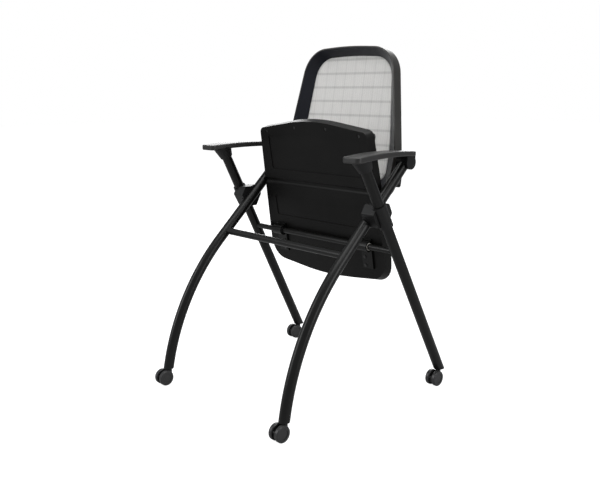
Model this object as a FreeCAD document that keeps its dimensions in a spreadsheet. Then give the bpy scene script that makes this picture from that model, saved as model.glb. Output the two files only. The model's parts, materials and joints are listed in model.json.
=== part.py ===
"""Nesting chair with a flip-up seat, a mesh back, fixed armrests and four twin-wheel casters.

Millimetres. X runs across the chair towards the sitter's left, Y towards the back, Z up.
The origin is on the floor, under the middle of the chair's bounding box. The seat is drawn
flipped up, as the chair stands when it is nested, and turns about the hinge bar to come down.
"""
import FreeCAD, Part
import math
import os

Vec = FreeCAD.Vector
Turn = FreeCAD.Rotation
Place = FreeCAD.Placement
X_AXIS, Y_AXIS, Z_AXIS = Vec(1, 0, 0), Vec(0, 1, 0), Vec(0, 0, 1)

doc = FreeCAD.newDocument("nesting_chair")
sheet = doc.addObject("Spreadsheet::Sheet", "Sizes")

SIZES = {
    # Leg tubes. A lean is measured from the vertical, a half is measured from the middle plane.
    "tube_diameter": 28, "tube_wall": 1.8, "foot_height": 50,
    "front_foot_half": 240, "front_foot_y": -257.4, "front_foot_lean": 11.3,
    "front_bend_radius": 627, "front_upper_lean": 47, "front_upper_length": 336,
    "front_splay": 0.8,
    "rear_foot_half": 283.5, "rear_foot_y": 276.1, "rear_lean": 27.35, "rear_length": 646,
    "rear_splay": 1.57,
    # The two bars across the chair.
    "front_bar_diameter": 19, "hinge_bar_diameter": 16, "bar_wall": 1.5,
    "front_bar_height": 405.5, "hinge_bar_height": 398.5,
    # The moulded block where the legs of one side cross.
    "block_wall": 4, "block_up": 31, "block_down": 27, "block_reach": 36, "block_corner": 5,
    "peg_diameter": 12,
    # Armrests.
    "pad_front_inner": 249, "pad_front_outer": 305, "pad_rear_inner": 223, "pad_rear_outer": 268,
    "pad_front_y": -79.5, "pad_rear_y": 180.5, "pad_top": 653, "pad_thick": 13.5, "pad_bow": 5,
    "pad_corner": 12, "pad_edge": 3,
    "collar_wall": 3.5, "collar_flare": 9, "collar_length": 24,
    "boss_radius": 18, "boss_inner_wall": 2.5, "boss_outer_wall": 6, "boss_grip": 15,
    "pad_screw_diameter": 5, "pad_screw_head": 9,
    # Backrest, in its own leaning plane. The ridge is the hoop's front outer edge.
    "back_lean": 9.5, "back_low_height": 520, "back_low_y": 146.5, "back_tall": 405,
    "back_low_half": 196, "back_waist_half": 209, "back_waist_up": 110, "back_top_half": 158,
    "back_low_corner": 45, "back_waist_corner": 220, "back_top_corner": 82, "back_crown": 9,
    "back_depth": 28, "ridge_width": 3.5,
    "open_low_up": 48, "open_top_drop": 25, "open_low_half": 158, "open_top_half": 134,
    "open_low_corner": 30, "open_top_corner": 62, "open_crown": 7,
    "open_waist_half": 162, "open_waist_up": 90, "open_waist_corner": 400,
    "mesh_thick": 1.2, "mesh_lap": 5, "cord_wide": 3, "cord_thick": 1.8,
    "bracket_thick": 4, "bracket_low": 34, "bracket_high": 76, "bracket_front": -6,
    "bracket_back": 24, "bracket_corner": 7, "mount_screw": 5, "mount_head": 9,
    "mount_head_tall": 2.5, "mount_long": 14, "mount_back": 13, "mount_low": 45, "mount_high": 65,
    # Seat, in its own frame: forward from the hinge axis, up from the pan's underside.
    "seat_fold_lean": 9.65, "hinge_below": 12.3,
    "seat_front_half": 203, "seat_wide_half": 222, "seat_wide_back": 35,
    "seat_front_corner_out": 298, "seat_front_out": 328, "seat_rear_out": 117,
    "seat_front_corner": 16, "seat_rear_corner": 52, "seat_rear_crown": 25, "seat_rear_tuck": 8,
    "seat_waist_corner": 130,
    "pan_deep": 26, "pan_draft": 2, "pan_rear_draft": 12, "pan_floor": 4, "pan_wall": 3.5,
    "board_thick": 9, "board_gap": 0.5, "cushion_thick": 30, "cushion_inset": 1.5,
    "cushion_edge": 14, "soft_gap": 0.3,
    "panel_deep": 1.8, "panel_low": 181, "panel_high": 277, "panel_half": 172, "panel_crown": 15,
    "tray_low": 42, "tray_high": 101, "tray_half": 178,
    "saddle_drop": 5, "saddle_gap": 0.4, "saddle_rib_wide": 34, "saddle_rib_tall": 11,
    "rib_beyond": 6.5,
    "screw_hole": 9, "screw_sunk": 3, "pan_screw": 4.5, "pan_screw_long": 20,
    "pan_screw_head": 8, "pan_head_tall": 2, "screw_outer": 176, "screw_outer_out": 289,
    "screw_inner": 60, "screw_inner_out": 303,
    # Hinge brackets under the seat.
    "bracket_at": 166, "bracket_long": 36, "bracket_round": 28, "foot_long": 84,
    "foot_ahead": 18, "foot_thick": 5, "foot_screw_near": 34, "foot_screw_far": 58,
    "foot_screw_long": 9, "liner_wall": 2, "running_gap": 0.08, "hinge_screw": 5,
    "hinge_screw_head": 9, "ring_diameter": 22, "ring_thick": 2, "ring_gap": 0.4,
    # Casters.
    "wheel_diameter": 42, "wheel_width": 11, "wheel_side_gap": 0.8, "web_width": 8,
    "trail": 17, "axle_diameter": 6, "axle_in_wheel": 8, "stem_diameter": 9, "stem_in_fork": 22,
    "stem_up": 10, "stem_clear": 0.4, "stem_collar": 13, "collar_tall": 4.2, "fork_slot": 4.4,
    "plug_lip": 7, "plug_in": 26, "plug_round": 2.5,
    "wheel_edge": 2.4, "hub_diameter": 26, "hub_dish": 1.2, "wheel_back_dish": 3,
}

for row, (alias, value) in enumerate(SIZES.items(), start=1):
    sheet.set("A%d" % row, alias)
    sheet.set("B%d" % row, str(value))
    sheet.setAlias("B%d" % row, alias)
doc.recompute()


def size(alias):
    """The number that the sheet holds under this name."""
    return float(sheet.get(alias))


def cell(text):
    """An expression on the sheet's cells: every known size in the text gets the sheet's name."""
    words = sorted(SIZES, key=len, reverse=True)
    out, at = "", 0
    while at < len(text):
        for word in words:
            ends = at + len(word)
            whole = not (text[ends:ends + 1].isalnum() or text[ends:ends + 1] == "_")
            if text.startswith(word, at) and whole and not (at and text[at - 1] in "_."):
                out, at = out + "Sizes." + word, ends
                break
        else:
            out, at = out + text[at], at + 1
    return out


def degrees_sin(angle):
    return math.sin(math.radians(angle))


def degrees_cos(angle):
    return math.cos(math.radians(angle))


def bind(thing, **sizes):
    """Ties properties of an object to expressions on the sheet."""
    for name, text in sizes.items():
        thing.setExpression(name, cell(text))
    return thing


def cylinder(name, radius, height, place=Place()):
    thing = doc.addObject("Part::Cylinder", name)
    thing.Placement = place
    return bind(thing, Radius=radius, Height=height)


def box(name, long, wide, tall, place=Place()):
    thing = doc.addObject("Part::Box", name)
    thing.Placement = place
    return bind(thing, Length=long, Width=wide, Height=tall)


def cut(name, base, *tools):
    """The base with each tool taken away."""
    thing = base
    for number, tool in enumerate(tools, start=1):
        step = doc.addObject("Part::Cut", name if number == len(tools) else "%s_%d" % (name, number))
        step.Base, step.Tool = thing, tool
        thing = step
    return thing


def fuse(name, *shapes):
    thing = doc.addObject("Part::MultiFuse", name)
    thing.Shapes = list(shapes)
    thing.Refine = True
    return thing


def common(name, one, other):
    thing = doc.addObject("Part::MultiCommon", name)
    thing.Shapes = [one, other]
    return thing


def mirrored(name, source):
    """The same piece on the other side of the middle plane."""
    thing = doc.addObject("Part::Mirroring", name)
    thing.Source, thing.Normal, thing.Base = source, X_AXIS, Vec(0, 0, 0)
    return thing


def group(name, *shapes):
    thing = doc.addObject("Part::Compound", name)
    thing.Links = list(shapes)
    return thing


def new_body(name, place=Place()):
    body = doc.addObject("PartDesign::Body", name)
    body.Placement = place
    return body


def sketch(body, role, name, lift="0"):
    """A sketch on one of the body's own planes, lifted along that plane's normal."""
    plane = [item for item in body.Origin.OriginFeatures if item.Role == role][0]
    drawing = body.newObject("Sketcher::SketchObject", name)
    drawing.AttachmentSupport = (plane, [""])
    drawing.MapMode = "FlatFace"
    drawing.setExpression("AttachmentOffset.Base.z", cell(lift))
    return drawing


def round_corners(corners):
    """Lines and tangent arcs round a closed outline given as (x, y, corner radius)."""
    count = len(corners)
    tangents = []
    for index, (x, y, radius) in enumerate(corners):
        here = Vec(x, y, 0)
        before = Vec(*corners[index - 1][:2], 0) - here
        after = Vec(*corners[(index + 1) % count][:2], 0) - here
        before.normalize()
        after.normalize()
        half = before.getAngle(after) / 2
        back = radius / math.tan(half)
        middle = before + after
        middle.normalize()
        centre = here + middle * (radius / math.sin(half))
        tangents.append((here + before * back, centre - middle * radius, here + after * back))
    edges = []
    for index, (start, middle, end) in enumerate(tangents):
        if corners[index][2] > 0:
            edges.append(Part.Arc(start, middle, end))
        following = tangents[(index + 1) % count][0]
        if (following - end).Length > 1e-6:
            edges.append(Part.LineSegment(end, following))
    return edges


def draw(drawing, edges):
    for edge in edges:
        drawing.addGeometry(edge, False)
    return drawing


def pad(body, drawing, name, length, side="One side", reverse=False):
    thing = body.newObject("PartDesign::Pad", name)
    thing.Profile, thing.SideType, thing.Reversed = drawing, side, reverse
    bind(thing, Length=length)
    return thing


def pocket(body, drawing, name, length, reverse=False):
    thing = body.newObject("PartDesign::Pocket", name)
    thing.Profile, thing.Reversed = drawing, reverse
    bind(thing, Length=length)
    return thing


def loft(body, first, last, name, take_away=False):
    kind = "PartDesign::SubtractiveLoft" if take_away else "PartDesign::AdditiveLoft"
    thing = body.newObject(kind, name)
    thing.Profile, thing.Sections, thing.Ruled = first, [last], True
    return thing


def fillet(body, name, radius, wanted):
    """Rounds the edges of the body's tip that the test picks."""
    doc.recompute()
    tip = body.Tip
    names = ["Edge%d" % (index + 1) for index, edge in enumerate(tip.Shape.Edges) if wanted(edge)]
    thing = body.newObject("PartDesign::Fillet", name)
    thing.Base = (tip, names)
    return bind(thing, Radius=radius)


def along(start, direction):
    """A placement whose Z axis lies along the direction."""
    return Place(start, Turn(Z_AXIS, direction))


# Legs. The front leg is drawn in its own plane, which leans inwards by its splay.
FLOOR_CUT = 24

front_plane = Place(Vec(size("front_foot_half"), size("front_foot_y"), size("foot_height")),
                    Turn(Y_AXIS, -size("front_splay")))
rear_plane = Place(Vec(size("rear_foot_half"), size("rear_foot_y"), size("foot_height")),
                   Turn(Y_AXIS, -size("rear_splay")))

front_lean = size("front_foot_lean")
upper_lean = size("front_upper_lean")
bend = size("front_bend_radius")
front_up = front_plane.Rotation.multVec(Vec(0, degrees_sin(upper_lean), degrees_cos(upper_lean)))
rear_up = rear_plane.Rotation.multVec(
    Vec(0, -degrees_sin(size("rear_lean")), degrees_cos(size("rear_lean"))))
bend_centre = Vec(0, bend * degrees_cos(front_lean), -bend * degrees_sin(front_lean))
bend_top = front_plane.multVec(
    bend_centre + Vec(0, -bend * degrees_cos(upper_lean), bend * degrees_sin(upper_lean)))
early = math.degrees(FLOOR_CUT / bend)
first_lean = front_lean - early


def front_leg_solid(name, radius, grow=0.0):
    """The bent front leg as a solid rod: a piece of a torus, then a straight cylinder."""
    ring = doc.addObject("Part::Torus", name + "_bend")
    bind(ring, Radius1="front_bend_radius", Radius2=radius,
         Angle3="front_upper_lean - front_foot_lean + %r" % early)
    across = Vec(0, -degrees_cos(first_lean), degrees_sin(first_lean))
    ahead = Vec(0, degrees_sin(first_lean), degrees_cos(first_lean))
    ring.Placement = front_plane.multiply(Place(bend_centre, Turn(across, ahead, -X_AXIS)))
    straight = cylinder(name + "_straight", radius, "front_upper_length + %r" % grow,
                        along(bend_top, front_up))
    return fuse(name, ring, straight)


def rear_leg_solid(name, radius, grow=0.0):
    start = rear_plane.Base - rear_up * FLOOR_CUT
    return cylinder(name, radius, "rear_length + %r" % (FLOOR_CUT + grow), along(start, rear_up))


def on_front_leg(height):
    """The point of the front leg's straight axis at this height."""
    return bend_top + front_up * ((height - bend_top.z) / front_up.z)


def on_rear_leg(height):
    return rear_plane.Base + rear_up * ((height - size("foot_height")) / rear_up.z)


def slab(name, low, high):
    """A wide flat box between two heights."""
    wide = 2000
    return box(name, str(wide), str(wide), "%r" % (high - low), Place(Vec(-wide / 2, -wide / 2, low), Turn()))


below_feet = slab("below_feet", size("foot_height") - 100, size("foot_height"))
front_rod = front_leg_solid("front_rod", "tube_diameter / 2")
front_bore = front_leg_solid("front_bore", "tube_diameter / 2 - tube_wall")
front_leg_left = cut("front_leg_left", front_rod, front_bore, below_feet)
front_rod_right = mirrored("front_rod_right", front_rod)
rear_rod = rear_leg_solid("rear_rod", "tube_diameter / 2")
rear_bore = rear_leg_solid("rear_bore", "tube_diameter / 2 - tube_wall")
rear_leg_left = cut("rear_leg_left", rear_rod, rear_bore, below_feet)
rear_rod_right = mirrored("rear_rod_right", rear_rod)


# Bars across the chair, coped to the legs.
def bar(name, middle, diameter, left_rod, right_rod):
    half = middle.x
    start = Place(Vec(-half, middle.y, middle.z), Turn(Y_AXIS, 90))
    rod = cylinder(name + "_rod", diameter + " / 2", "%r" % (2 * half), start)
    hole = cylinder(name + "_bore", diameter + " / 2 - bar_wall", "%r" % (2 * half), start)
    return cut(name, rod, hole, left_rod, right_rod)


front_bar_at = on_front_leg(size("front_bar_height"))
hinge_at = on_rear_leg(size("hinge_bar_height"))
front_crossbar = bar("front_crossbar", front_bar_at, "front_bar_diameter", front_rod, front_rod_right)
hinge_bar = bar("hinge_bar", hinge_at, "hinge_bar_diameter", rear_rod, rear_rod_right)


# The moulded block where the two legs of a side cross, with a steel peg inside it.
def crossing_height():
    slope_front = front_up.y / front_up.z
    slope_rear = rear_up.y / rear_up.z
    gap = on_rear_leg(0).y - on_front_leg(0).y
    return gap / (slope_front - slope_rear)


cross_z = crossing_height()
cross_front, cross_rear = on_front_leg(cross_z), on_rear_leg(cross_z)
reach, up, down = size("block_reach"), size("block_up"), size("block_down")
corner = size("block_corner")
web = new_body("crossing_web", Place(Vec(0, cross_front.y, cross_z), Turn()))
web_sketch = sketch(web, "YZ_Plane", "web_outline", "%r" % (cross_front.x - 2))
draw(web_sketch, round_corners([
    (-reach, up * 0.25, corner), (-reach * 0.6, up, corner), (reach * 0.66, up, corner),
    (reach, up * 0.2, corner), (reach * 0.5, -down, corner), (-reach * 0.46, -down, corner)]))
pad(web, web_sketch, "web_pad", "%r" % (cross_rear.x - cross_front.x + 2))
sleeve = cylinder("rear_sleeve", "tube_diameter / 2 + block_wall", "block_up + block_down + 4",
                  along(cross_rear - rear_up * (down + 2), rear_up))
half_sleeve = cylinder("front_sleeve", "tube_diameter / 2 + block_wall", "block_up + block_down",
                       along(cross_front - front_up * down, front_up))
outer_side = box("outer_side", "200", "400", "400",
                 Place(Vec(cross_front.x - 2, cross_front.y - 200, cross_z - 200), Turn()))
front_sleeve = common("front_half_sleeve", half_sleeve, outer_side)
peg_rod = cylinder("peg_rod", "peg_diameter / 2", "%r" % (cross_rear.x - cross_front.x),
                   Place(Vec(cross_front.x, cross_front.y, cross_z), Turn(Y_AXIS, 90)))
crossing_peg = cut("crossing_peg", peg_rod, front_rod, rear_rod)
crossing_form = fuse("crossing_form", web, sleeve, front_sleeve)
crossing_block_left = cut("crossing_block_left", crossing_form, front_rod, rear_rod, peg_rod)

# Armrest pad: its plan and its bowed side profile, each pushed through the other.
pad_front, pad_rear = size("pad_front_y"), size("pad_rear_y")
pad_middle = (pad_front + pad_rear) / 2
plan = new_body("pad_plan", Place(Vec(0, 0, size("pad_top") - 60), Turn()))
plan_sketch = sketch(plan, "XY_Plane", "pad_plan_outline")
draw(plan_sketch, round_corners([
    (size("pad_front_inner"), pad_front, size("pad_corner")),
    (size("pad_front_outer"), pad_front, size("pad_corner")),
    (size("pad_rear_outer"), pad_rear, size("pad_corner")),
    (size("pad_rear_inner"), pad_rear, size("pad_corner"))]))
pad(plan, plan_sketch, "pad_plan_pad", "100")
profile = new_body("pad_profile")
profile_sketch = sketch(profile, "YZ_Plane", "pad_side_outline", "100")
top, thick, bow = size("pad_top"), size("pad_thick"), size("pad_bow")
beyond = 10
ends = [pad_front - beyond, pad_rear + beyond]
top_arc = [Vec(ends[0], top - bow, 0), Vec(pad_middle - 30, top, 0), Vec(ends[1], top - bow * 1.5, 0)]
low_arc = [Vec(ends[1], top - thick - bow * 1.2, 0), Vec(pad_middle, top - thick, 0),
           Vec(ends[0], top - thick - bow * 1.2, 0)]
draw(profile_sketch, [Part.Arc(*top_arc), Part.LineSegment(top_arc[2], low_arc[0]), Part.Arc(*low_arc),
                      Part.LineSegment(low_arc[2], top_arc[0])])
pad(profile, profile_sketch, "pad_side_pad", "300")
pad_blank = common("pad_blank", plan, profile)
doc.recompute()
armrest_left = doc.addObject("Part::Fillet", "armrest_left")
armrest_left.Base = pad_blank
soft_edges = [index + 1 for index, edge in enumerate(pad_blank.Shape.Edges)
              if abs(edge.tangentAt(edge.FirstParameter).z) < 0.5]
armrest_left.Edges = [(index, size("pad_edge"), size("pad_edge")) for index in soft_edges]

# Collar at the top of the rear leg, flared to carry the pad's front.
collar_end = on_rear_leg(size("pad_top") - size("pad_thick") - 5)
collar_start = collar_end - rear_up * size("collar_length")
flare = doc.addObject("Part::Cone", "collar_flare_form")
bind(flare, Radius1="tube_diameter / 2 + collar_wall", Height="collar_length + 12",
     Radius2="tube_diameter / 2 + collar_wall + collar_flare")
flare.Placement = along(collar_start, rear_up)
inside_pad = size("pad_top") - size("pad_thick") + 3
above_collar = slab("above_collar", inside_pad, inside_pad + 100)
armrest_collar_left = cut("armrest_collar_left", flare, rear_rod, armrest_left, above_collar)

# Rounded boss under the pad's rear end: it takes the upper end of the front leg.
front_top = bend_top + front_up * size("front_upper_length")
boss_at = front_top + front_up * (size("boss_radius") - size("boss_grip"))
boss_from = front_top.x - size("tube_diameter") / 2 - size("boss_inner_wall")
boss_to = front_top.x + size("tube_diameter") / 2 + size("boss_outer_wall")
boss_long = "tube_diameter + boss_inner_wall + boss_outer_wall"
boss_round = cylinder("boss_round", "boss_radius", boss_long,
                      Place(Vec(boss_from, boss_at.y, boss_at.z), Turn(Y_AXIS, 90)))
neck_top = size("pad_top") - size("pad_thick")
boss_neck = box("boss_neck", boss_long, "2 * boss_radius - 4", "%r" % (neck_top - boss_at.z),
                Place(Vec(boss_from, boss_at.y - size("boss_radius") + 2, boss_at.z), Turn()))
boss_form = fuse("boss_form", boss_round, boss_neck)
armrest_boss_left = cut("armrest_boss_left", boss_form, front_rod, armrest_left)


def arch(low_half, waist_half, waist_up, top_half, low, high, crown, corners):
    """A back outline: rounded below, widest at the waist, narrower and rounded on top."""
    low_corner, waist_corner, top_corner = corners
    crown_radius = 0.4 * top_half / math.tan(math.atan2(crown, top_half))
    left = [(-top_half, high - crown, top_corner), (-waist_half, low + waist_up, waist_corner),
            (-low_half, low, low_corner)]
    right = [(-x, y, radius) for x, y, radius in reversed(left)]
    return left + right + [(0, high, crown_radius)]


def outer_arch(inset):
    """The hoop's outer outline, moved inwards."""
    corners = [size(name) - inset for name in ("back_low_corner", "back_waist_corner", "back_top_corner")]
    return arch(size("back_low_half") - inset, size("back_waist_half") - inset,
                size("back_waist_up"), size("back_top_half") - inset, inset,
                size("back_tall") - inset, size("back_crown"), corners)


def open_arch(outset):
    """The outline of the mesh opening, moved outwards."""
    corners = [size(name) + outset for name in ("open_low_corner", "open_waist_corner", "open_top_corner")]
    return arch(size("open_low_half") + outset, size("open_waist_half") + outset,
                size("open_waist_up"), size("open_top_half") + outset, size("open_low_up") - outset,
                size("back_tall") - size("open_top_drop") + outset, size("open_crown"), corners)


# Back frame: a hoop whose inner band slopes from the ridge in front to the mesh at the rear.
back_place = Place(Vec(0, size("back_low_y"), size("back_low_height")),
                   Turn(X_AXIS, -size("back_lean")))
back_frame = new_body("back_frame", back_place)
hoop = draw(sketch(back_frame, "XZ_Plane", "hoop_outline"), round_corners(outer_arch(0)))
pad(back_frame, hoop, "hoop_pad", "back_depth", reverse=True)
band_front = draw(sketch(back_frame, "XZ_Plane", "band_front"),
                  round_corners(outer_arch(size("ridge_width"))))
band_rear = draw(sketch(back_frame, "XZ_Plane", "band_rear", "-back_depth"),
                 round_corners(open_arch(0)))
loft(back_frame, band_front, band_rear, "band_slope", take_away=True)
mesh_seat = draw(sketch(back_frame, "XZ_Plane", "mesh_groove_outline", "-back_depth"),
                 round_corners(open_arch(size("mesh_lap"))))
pocket(back_frame, mesh_seat, "mesh_groove", "mesh_thick + cord_thick", reverse=True)

# Lugs on the hoop's sides, which the brackets on the front legs are screwed to.
bracket_face = on_front_leg(size("back_low_height") + size("bracket_high")).x - size("tube_diameter") / 2
lug_root = size("back_low_half") + 6
plate_from = bracket_face - size("bracket_thick")
for side in (1, -1):
    lug_name = "lug_left" if side > 0 else "lug_right"
    lug = sketch(back_frame, "YZ_Plane", lug_name + "_outline", "%r" % (side * lug_root))
    draw(lug, round_corners([
        (2, size("bracket_low") + 3, 4), (size("bracket_back") - 2, size("bracket_low") + 3, 4),
        (size("bracket_back") - 2, size("bracket_high") - 3, 4), (2, size("bracket_high") - 3, 4)]))
    pad(back_frame, lug, lug_name + "_pad", "%r" % (plate_from - lug_root), reverse=side < 0)

back_mesh = new_body("back_mesh", back_place)
mesh_sketch = sketch(back_mesh, "XZ_Plane", "mesh_outline", "-(back_depth - mesh_thick - cord_thick)")
draw(mesh_sketch, round_corners(open_arch(size("mesh_lap"))))
pad(back_mesh, mesh_sketch, "mesh_pad", "mesh_thick", reverse=True)
mesh_cord = new_body("mesh_cord", back_place)
cord_sketch = sketch(mesh_cord, "XZ_Plane", "cord_outline", "-(back_depth - cord_thick)")
draw(cord_sketch, round_corners(open_arch(size("mesh_lap"))))
draw(cord_sketch, round_corners(open_arch(size("mesh_lap") - size("cord_wide"))))
pad(mesh_cord, cord_sketch, "cord_pad", "cord_thick", reverse=True)

plate = new_body("bracket_plate", back_place)
plate_sketch = sketch(plate, "YZ_Plane", "bracket_outline", "%r" % plate_from)
corner = size("bracket_corner")
draw(plate_sketch, round_corners([
    (size("bracket_front"), size("bracket_low"), corner), (size("bracket_back"), size("bracket_low"), corner),
    (size("bracket_back"), size("bracket_high"), corner),
    (size("bracket_front"), size("bracket_high"), corner)]))
pad(plate, plate_sketch, "bracket_pad", "bracket_thick + 1")


def screw(name, head_face, direction, shank, shank_long, head, head_tall):
    """A screw whose head stands on the face and whose shank goes along the direction."""
    body = cylinder(name + "_shank", shank + " / 2", shank_long, along(head_face, direction))
    cap = cylinder(name + "_head", head + " / 2", head_tall, along(head_face, direction * -1))
    return fuse(name, body, cap)


def hole_for(name, head_face, direction, shank, shank_long):
    return cylinder(name, shank + " / 2", shank_long, along(head_face, direction))


mount_screws, mount_holes = [], []
for number, up_at in enumerate(("mount_low", "mount_high"), start=1):
    face = back_place.multVec(Vec(plate_from + size("bracket_thick") + 1, size("mount_back"), size(up_at)))
    mount_screws.append(screw("mount_screw_%d" % number, face, -X_AXIS, "mount_screw", "mount_long",
                              "mount_head", "mount_head_tall"))
    mount_holes.append(hole_for("mount_hole_%d" % number, face, -X_AXIS, "mount_screw", "mount_long"))
back_bracket_left = cut("back_bracket_left", plate, front_rod, *mount_holes)
hole_pair = fuse("mount_hole_pair", *mount_holes)
back_frame_drilled = cut("back_frame_drilled", back_frame, hole_pair,
                         mirrored("mount_hole_pair_right", hole_pair))
screws_left = group("back_screws_left", *mount_screws)
back_screws = group("back_screws", screws_left, mirrored("back_screws_right", screws_left))

# Seat. Its frame has the hinge axis as origin, Y backwards and Z up when the seat is down.
fold = 90 - size("seat_fold_lean")
seat_place = Place(Vec(0, hinge_at.y, hinge_at.z), Turn(X_AXIS, -fold))
under = size("hinge_below")
rim = under + size("pan_deep")


def seat_outline(side, rear):
    """The seat in plan, grown at the sides and front, and at the rear."""
    out = size("seat_front_out") + side
    corner_out = size("seat_front_corner_out") + side
    front_half = size("seat_front_half") + side
    rear_out, crown = size("seat_rear_out") + rear, size("seat_rear_crown")
    rear_half = size("seat_wide_half") + side - size("seat_rear_tuck")
    front_radius = 0.42 * front_half / math.tan(math.atan2(out - corner_out, front_half))
    rear_radius = 0.42 * rear_half / math.tan(math.atan2(crown, rear_half))
    left = [(-rear_half, rear_out - crown, size("seat_rear_corner") + side),
            (-size("seat_wide_half") - side, size("seat_wide_back"), size("seat_waist_corner")),
            (-front_half, -corner_out, size("seat_front_corner") + side)]
    right = [(-x, y, radius) for x, y, radius in reversed(left)]
    return left + [(0, -out, front_radius)] + right + [(0, rear_out, rear_radius)]


def draft_at(level):
    """How far the pan's wall has flared at this height above its underside."""
    share = level / size("pan_deep")
    return size("pan_draft") * share, size("pan_rear_draft") * share


seat_pan = new_body("seat_pan", seat_place)
pan_low = draw(sketch(seat_pan, "XY_Plane", "pan_low", "hinge_below"), round_corners(seat_outline(0, 0)))
pan_high = draw(sketch(seat_pan, "XY_Plane", "pan_high", "hinge_below + pan_deep"),
                round_corners(seat_outline(*draft_at(size("pan_deep")))))
loft(seat_pan, pan_low, pan_high, "pan_form")
wall = size("pan_wall")
floor_draft = draft_at(size("pan_floor"))
rim_draft = draft_at(size("pan_deep"))
hollow_low = draw(sketch(seat_pan, "XY_Plane", "hollow_low", "hinge_below + pan_floor"),
                  round_corners(seat_outline(floor_draft[0] - wall, floor_draft[1] - wall)))
hollow_high = draw(sketch(seat_pan, "XY_Plane", "hollow_high", "hinge_below + pan_deep"),
                   round_corners(seat_outline(rim_draft[0] - wall, rim_draft[1] - wall)))
loft(seat_pan, hollow_low, hollow_high, "pan_hollow", take_away=True)

# The saddle: a groove across the underside, which the front crossbar fits when the seat is down.
span = math.hypot(hinge_at.y - front_bar_at.y, front_bar_at.z - hinge_at.z)
saddle_rise = size("hinge_below") - size("saddle_drop")
saddle_out = math.sqrt(span ** 2 - saddle_rise ** 2)
rib_half = size("seat_front_half") + size("rib_beyond")
rib = sketch(seat_pan, "XY_Plane", "saddle_rib_outline", "hinge_below + 1")
rib_wide = size("saddle_rib_wide") / 2
draw(rib, round_corners([(-rib_half, -saddle_out - rib_wide, 0), (rib_half, -saddle_out - rib_wide, 0),
                         (rib_half, -saddle_out + rib_wide, 0), (-rib_half, -saddle_out + rib_wide, 0)]))
pad(seat_pan, rib, "saddle_rib", "saddle_rib_tall - 1")


def rectangle(half, low, high, corner):
    """A rounded rectangle between two distances in front of the hinge."""
    return round_corners([(-half, -high, corner), (half, -high, corner), (half, -low, corner),
                          (-half, -low, corner)])


panel = sketch(seat_pan, "XY_Plane", "front_panel_outline", "hinge_below")
panel_half, panel_high, panel_crown = size("panel_half"), size("panel_high"), size("panel_crown")
crown_radius = 0.42 * panel_half / math.tan(math.atan2(panel_crown, panel_half))
draw(panel, round_corners([
    (-panel_half, -panel_high, 6), (0, -panel_high - panel_crown, crown_radius),
    (panel_half, -panel_high, 6), (panel_half, -size("panel_low"), 6), (-panel_half, -size("panel_low"), 6)]))
pocket(seat_pan, panel, "front_panel", "panel_deep", reverse=True)
tray = sketch(seat_pan, "XY_Plane", "tray_outline", "hinge_below")
draw(tray, rectangle(size("tray_half"), size("tray_low"), size("tray_high"), 6))
pocket(seat_pan, tray, "tray", "panel_deep", reverse=True)

# Screws up through the pan into the board, in sunk holes, with a post round each.
screw_spots = [(side * size(across), size(ahead)) for side in (-1, 1)
               for across, ahead in (("screw_outer", "screw_outer_out"), ("screw_inner", "screw_inner_out"))]
board_low = size("pan_deep") - size("board_thick")
posts = sketch(seat_pan, "XY_Plane", "post_outlines", "hinge_below + 1")
for x, out in screw_spots:
    posts.addGeometry(Part.Circle(Vec(x, -out, 0), Z_AXIS, size("screw_hole")), False)
pad(seat_pan, posts, "posts", "pan_deep - board_thick - 1")
wells = sketch(seat_pan, "XY_Plane", "well_outlines", "hinge_below")
bores = sketch(seat_pan, "XY_Plane", "bore_outlines", "hinge_below")
for x, out in screw_spots:
    wells.addGeometry(Part.Circle(Vec(x, -out, 0), Z_AXIS, size("screw_hole") / 2), False)
    bores.addGeometry(Part.Circle(Vec(x, -out, 0), Z_AXIS, size("pan_screw") / 2), False)
pocket(seat_pan, wells, "wells", "screw_sunk", reverse=True)
pocket(seat_pan, bores, "bores", "pan_deep", reverse=True)

saddle_axis = seat_place.multVec(Vec(-300, -saddle_out, saddle_rise))
saddle_cut = cylinder("saddle_cut", "front_bar_diameter / 2 + saddle_gap", "600",
                      along(saddle_axis, X_AXIS))


def seat_point(x, out, level):
    """A point of the seat by its distance across, in front of the hinge, and above the underside."""
    return seat_place.multVec(Vec(x, -out, under + level))


seat_up = seat_place.Rotation.multVec(Z_AXIS)
pan_screws = [screw("pan_screw_%d" % number, seat_point(x, out, size("screw_sunk")), seat_up,
                    "pan_screw", "pan_screw_long", "pan_screw_head", "pan_head_tall")
              for number, (x, out) in enumerate(screw_spots, start=1)]
board = new_body("board_form", seat_place)
board_side, board_rear = draft_at(board_low)
tight = wall + size("board_gap")
board_sketch = sketch(board, "XY_Plane", "board_outline", "hinge_below + pan_deep - board_thick")
draw(board_sketch, round_corners(seat_outline(board_side - tight, board_rear - tight)))
pad(board, board_sketch, "board_pad", "board_thick")
cushion = new_body("seat_cushion", seat_place)
cushion_sketch = sketch(cushion, "XY_Plane", "cushion_outline", "hinge_below + pan_deep + soft_gap")
inset = size("cushion_inset")
draw(cushion_sketch, round_corners(seat_outline(rim_draft[0] - inset, rim_draft[1] - inset)))
pad(cushion, cushion_sketch, "cushion_pad", "cushion_thick")
cushion_top = rim + size("soft_gap") + size("cushion_thick")
fillet(cushion, "cushion_round", "cushion_edge",
       lambda edge: edge.BoundBox.ZMin > cushion_top - 0.01)

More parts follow.
